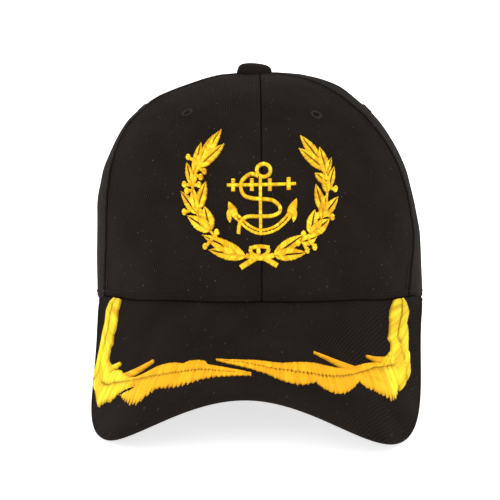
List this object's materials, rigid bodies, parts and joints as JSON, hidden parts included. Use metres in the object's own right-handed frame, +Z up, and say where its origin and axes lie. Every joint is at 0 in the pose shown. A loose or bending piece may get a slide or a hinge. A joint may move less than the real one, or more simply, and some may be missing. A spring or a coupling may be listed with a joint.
{
  "type": "captain hat",
  "caption": "Black twill panelled cap with a curved visor, a back strap, and gold laurel, anchor and oak-leaf embroidery.",
  "frame": {"origin": "centre of the bottom of the box round the cap as it stands on a level surface", "axes": "+Z up, -Y towards the visor's front, +X towards the wearer's left, which is the viewer's right from the front"},
  "size_m": [0.1724, 0.2572, 0.1401],
  "materials": {
    "twill_black": "warm black cotton twill",
    "band_black": "plain black cotton band",
    "thread_gold": "gold satin-stitch thread"
  },
  "bodies": {
    "root": {"visor": "twill_black", "crown_back_left": "twill_black", "crown_side_left": "twill_black", "crown_front_left": "twill_black", "crown_front_right": "twill_black", "crown_side_right": "twill_black", "crown_back_right": "twill_black", "eyelet_front_left": "twill_black", "eyelet_front_right": "twill_black", "eyelet_side_left": "twill_black", "eyelet_side_right": "twill_black", "eyelet_back_left": "twill_black", "eyelet_back_right": "twill_black", "crown_button": "twill_black", "sweatband": "band_black", "back_strap": "twill_black", "wreath_left": "thread_gold", "wreath_right": "thread_gold", "wreath_bow": "thread_gold", "anchor": "thread_gold", "visor_branch_left": "thread_gold", "visor_branch_right": "thread_gold"}
  },
  "joints": []
}
